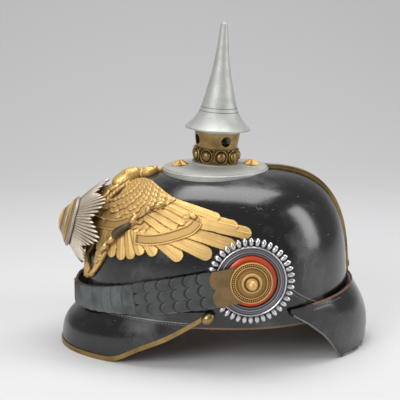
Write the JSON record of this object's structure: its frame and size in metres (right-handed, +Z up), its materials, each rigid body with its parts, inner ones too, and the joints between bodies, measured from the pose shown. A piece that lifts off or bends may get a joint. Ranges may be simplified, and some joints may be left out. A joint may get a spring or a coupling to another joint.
{
  "type": "spiked leather helmet",
  "caption": "Spiked black leather helmet with front and rear visors, eagle plate with rayed star, side cockades and chin scales; the spike unscrews and the chin scales open.",
  "frame": {"origin": "on the surface the helmet stands on, under the middle of its outer box, which is within a millimetre of the base disc's centre", "axes": "+Z up, -X the wearer's front, -Y the wearer's left"},
  "size_m": [0.2721, 0.2246, 0.2787],
  "materials": {
    "black_leather": "glossy lacquered leather",
    "brass_trim": "aged satin",
    "gilt": "satin gilt",
    "sceptre_bronze": "worn",
    "star_silver": "tarnished silver",
    "grey_metal": "dull grey",
    "cockade_silver": "silver with dark recesses",
    "cockade_red": "red lacquer",
    "fittings_steel": "plain",
    "scale_brass": "tarnished",
    "scale_grey": "dull oxidised",
    "strap_leather": "dark leather",
    "liner_leather": "tan leather",
    "lace": "plaited cotton"
  },
  "bodies": {
    "helmet": {"skull": "black_leather", "front_visor": "black_leather", "visor_trim": "brass_trim", "trim_ball_rivets": "brass_trim", "rear_visor": "black_leather", "rear_spine": "brass_trim", "spine_screw": "brass_trim", "base_disc": "grey_metal", "base_star_studs": "brass_trim", "base_washer": "fittings_steel", "stud_nuts": "fittings_steel", "bead_ring": "brass_trim", "spike_collar": "brass_trim", "collar_bridge": "fittings_steel", "eagle_plate": "gilt", "scrolls": "gilt", "sceptre": "sceptre_bronze", "sword": "gilt", "guard_star": "star_silver", "medallion_ring": "star_silver", "medallion_boss": "gilt", "star_screw": "fittings_steel", "plate_posts": "fittings_steel", "plate_nuts": "fittings_steel", "sweatband": "liner_leather", "liner_tongues": "liner_leather", "liner_lace": "lace", "cockade_left": "cockade_silver", "cockade_red_left": "cockade_red", "rosette_left": "gilt", "rosette_post_left": "fittings_steel", "cockade_right": "cockade_silver", "cockade_red_right": "cockade_red", "rosette_right": "gilt", "rosette_post_right": "fittings_steel"},
    "spike_thread": {"spike_washer": "fittings_steel"},
    "spike_body": {"spike": "grey_metal", "spike_stem": "fittings_steel"},
    "chin_left_1": {"chin_plate_left": "scale_brass", "chin_scales_1_left": "scale_grey", "chin_leather_1_left": "strap_leather"},
    "chin_left_2": {"chin_scales_2_left": "scale_grey", "chin_leather_2_left": "strap_leather"},
    "chin_left_3": {"chin_scales_3_left": "scale_grey", "chin_leather_3_left": "strap_leather"},
    "chin_left_4": {"chin_scales_4_left": "scale_grey", "chin_leather_4_left": "strap_leather", "strap_buckle": "scale_brass"},
    "chin_right_1": {"chin_plate_right": "scale_brass", "chin_scales_1_right": "scale_grey", "chin_leather_1_right": "strap_leather"},
    "chin_right_2": {"chin_scales_2_right": "scale_grey", "chin_leather_2_right": "strap_leather"},
    "chin_right_3": {"chin_scales_3_right": "scale_grey", "chin_leather_3_right": "strap_leather"},
    "chin_right_4": {"chin_scales_4_right": "scale_grey", "chin_leather_4_right": "strap_leather", "strap_tip": "scale_brass"}
  },
  "joints": [
    {"name": "spike_turn", "type": "hinge", "parent": "helmet", "child": "spike_thread", "pos_m": [0.001, 0, 0.1584], "axis": [0.061, 0, 0.9981], "range_deg": [0, 1080]},
    {"name": "spike_lift", "type": "slide", "parent": "spike_thread", "child": "spike_body", "axis": [0.061, 0, 0.9981], "range_m": [0, 0.006]},
    {"name": "chin_pivot_left", "type": "hinge", "parent": "helmet", "child": "chin_left_1", "pos_m": [0.024, -0.0901, 0.076], "axis": [0, 1, 0], "range_deg": [0, 7]},
    {"name": "chin_flex_1_left", "type": "hinge", "parent": "chin_left_1", "child": "chin_left_2", "pos_m": [-0.02772, -0.08966, 0.06548], "axis": [-0.1908, 0.0391, 0.9809], "range_deg": [0, 15]},
    {"name": "chin_flex_2_left", "type": "hinge", "parent": "chin_left_2", "child": "chin_left_3", "pos_m": [-0.0698, -0.07406, 0.05692], "axis": [-0.161, 0.0786, 0.9838], "range_deg": [0, 18]},
    {"name": "chin_flex_3_left", "type": "hinge", "parent": "chin_left_3", "child": "chin_left_4", "pos_m": [-0.0972, -0.05462, 0.05133], "axis": [-0.1158, 0.0989, 0.9883], "range_deg": [0, 28]},
    {"name": "chin_pivot_right", "type": "hinge", "parent": "helmet", "child": "chin_right_1", "pos_m": [0.024, 0.0901, 0.076], "axis": [0, 1, 0], "range_deg": [0, 7]},
    {"name": "chin_flex_1_right", "type": "hinge", "parent": "chin_right_1", "child": "chin_right_2", "pos_m": [-0.02772, 0.08966, 0.06548], "axis": [0.1908, 0.0391, -0.9809], "range_deg": [0, 15]},
    {"name": "chin_flex_2_right", "type": "hinge", "parent": "chin_right_2", "child": "chin_right_3", "pos_m": [-0.0698, 0.07406, 0.05692], "axis": [0.161, 0.0786, -0.9838], "range_deg": [0, 18]},
    {"name": "chin_flex_3_right", "type": "hinge", "parent": "chin_right_3", "child": "chin_right_4", "pos_m": [-0.0972, 0.05462, 0.05133], "axis": [0.1158, 0.0989, -0.9883], "range_deg": [0, 28]}
  ],
  "couplings": [
    {"joint": "spike_lift", "follows": "spike_turn", "m_per_rad": 0.00031828},
    {"joint": "chin_flex_2_left", "follows": "chin_flex_1_left", "ratio": 1.1999},
    {"joint": "chin_flex_3_left", "follows": "chin_flex_1_left", "ratio": 1.8665},
    {"joint": "chin_flex_2_right", "follows": "chin_flex_1_right", "ratio": 1.1999},
    {"joint": "chin_flex_3_right", "follows": "chin_flex_1_right", "ratio": 1.8665}
  ]
}
